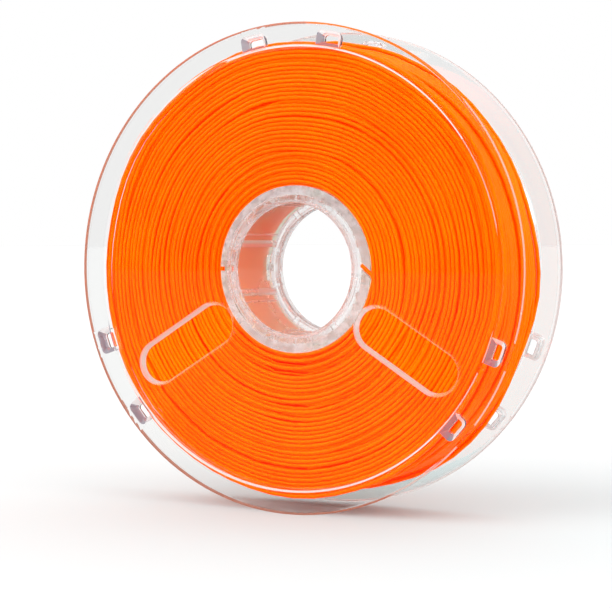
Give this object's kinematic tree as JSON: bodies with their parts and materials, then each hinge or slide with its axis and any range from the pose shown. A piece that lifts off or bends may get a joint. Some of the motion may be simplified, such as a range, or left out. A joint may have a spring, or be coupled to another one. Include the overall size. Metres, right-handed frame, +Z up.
{
  "type": "filament spool",
  "caption": "Clear moulded spool with windowed flanges and a plain bore, wound with orange printer filament.",
  "frame": {"origin": "centre of the reel: on the bore axis, midway between the two flanges", "axes": "+Y runs along the bore from the front flange to the rear one, +Z is up, and the reel stands on its two rims"},
  "size_m": [0.2, 0.047, 0.2],
  "materials": {
    "clear_plastic": "gloss",
    "filament": "satin"
  },
  "bodies": {
    "root": {"front_flange": "clear_plastic", "rear_flange": "clear_plastic", "hub_sleeve": "clear_plastic", "filament_winding": "filament", "filament_start_tail": "filament", "filament_end_tail": "filament"}
  },
  "joints": []
}
